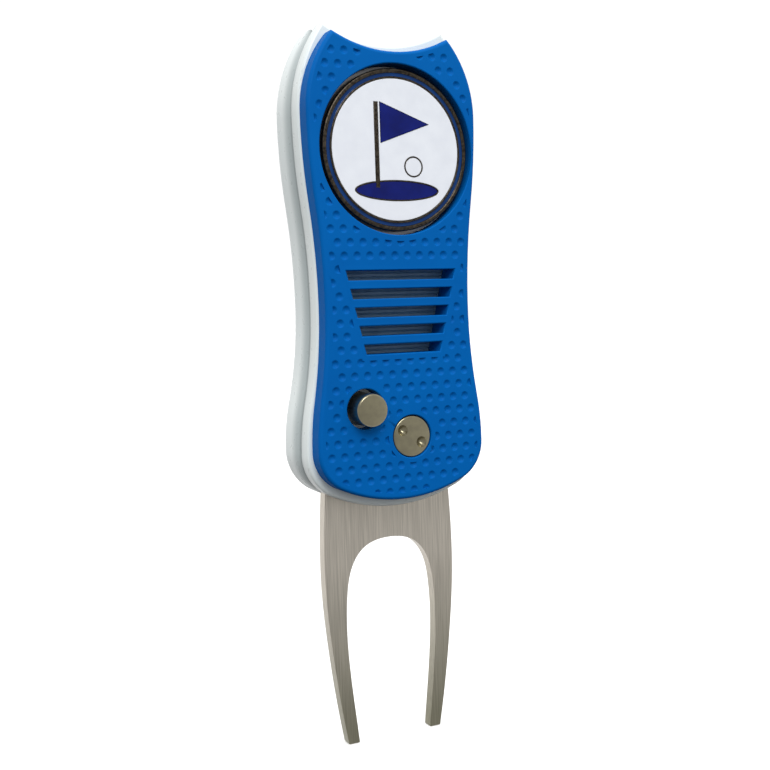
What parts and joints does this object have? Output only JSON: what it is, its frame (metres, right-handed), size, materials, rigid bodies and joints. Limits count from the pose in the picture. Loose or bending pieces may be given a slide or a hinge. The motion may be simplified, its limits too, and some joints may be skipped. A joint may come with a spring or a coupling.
{
  "type": "divot repair tool",
  "caption": "Folding golf divot repair tool: a two-prong steel fork swings out of a white case with a blue dimpled cover, a push button and a lift-off ball marker.",
  "frame": {"origin": "centre of the bounding box, with the fork swung out", "axes": "+Z along the handle from the prong tips to the head, +Y from the cover towards the back of the handle, +X to the right as seen from the cover"},
  "size_m": [0.0308, 0.0154, 0.113],
  "materials": {
    "blue_soft_plastic": "soft-touch satin with a dimple grip",
    "white_case_plastic": "semi-gloss moulded",
    "dark_backing_plastic": "matte",
    "liner_steel": "stamped steel",
    "nickel_plate": "satin nickel plate",
    "nylon_washer": "moulded nylon",
    "spring_steel": "drawn spring wire",
    "insert_brass": "turned and knurled",
    "magnet_plate": "bright nickel plate",
    "brushed_fork_steel": "brushed lengthwise",
    "marker_gunmetal": "dark gunmetal plate on struck brass",
    "enamel_blue": "enamel fill",
    "enamel_white": "enamel fill",
    "enamel_navy": "enamel fill"
  },
  "bodies": {
    "case": {"front_cover": "blue_soft_plastic", "front_frame": "white_case_plastic", "grille_backing": "dark_backing_plastic", "rear_shell": "white_case_plastic", "rear_liner": "liner_steel", "pivot_screw": "nickel_plate", "pivot_barrel": "nickel_plate", "front_washer": "nylon_washer", "rear_washer": "nylon_washer", "torsion_spring": "spring_steel", "stop_pins": "liner_steel", "dowel_pins": "liner_steel", "case_screws": "nickel_plate", "thread_inserts": "insert_brass", "marker_seat": "liner_steel", "magnet": "magnet_plate", "button_spring": "spring_steel"},
    "fork": {"fork_blade": "brushed_fork_steel", "spring_peg": "liner_steel"},
    "button": {"push_button": "nickel_plate", "lock_collar": "liner_steel"},
    "marker": {"marker_disc": "marker_gunmetal", "marker_ring": "enamel_blue", "marker_field": "enamel_white", "marker_motif": "enamel_navy"}
  },
  "joints": [
    {"name": "fork_swing", "type": "hinge", "parent": "case", "child": "fork", "pos_m": [0.00148, 0.00205, -0.00678], "axis": [0, -1, 0], "range_deg": [0, 180], "stiffness_Nm_per_rad": 0.008, "springref_deg": -68.75, "deforming": ["torsion_spring"]},
    {"name": "button_press", "type": "slide", "parent": "case", "child": "button", "axis": [0, 1, 0], "range_m": [0, 0.0015], "stiffness_N_per_m": 500, "springref_m": -0.001, "deforming": ["button_spring"]},
    {"name": "marker_lift", "type": "slide", "parent": "case", "child": "marker", "axis": [0, -1, 0], "range_m": [0, 0.012]}
  ]
}
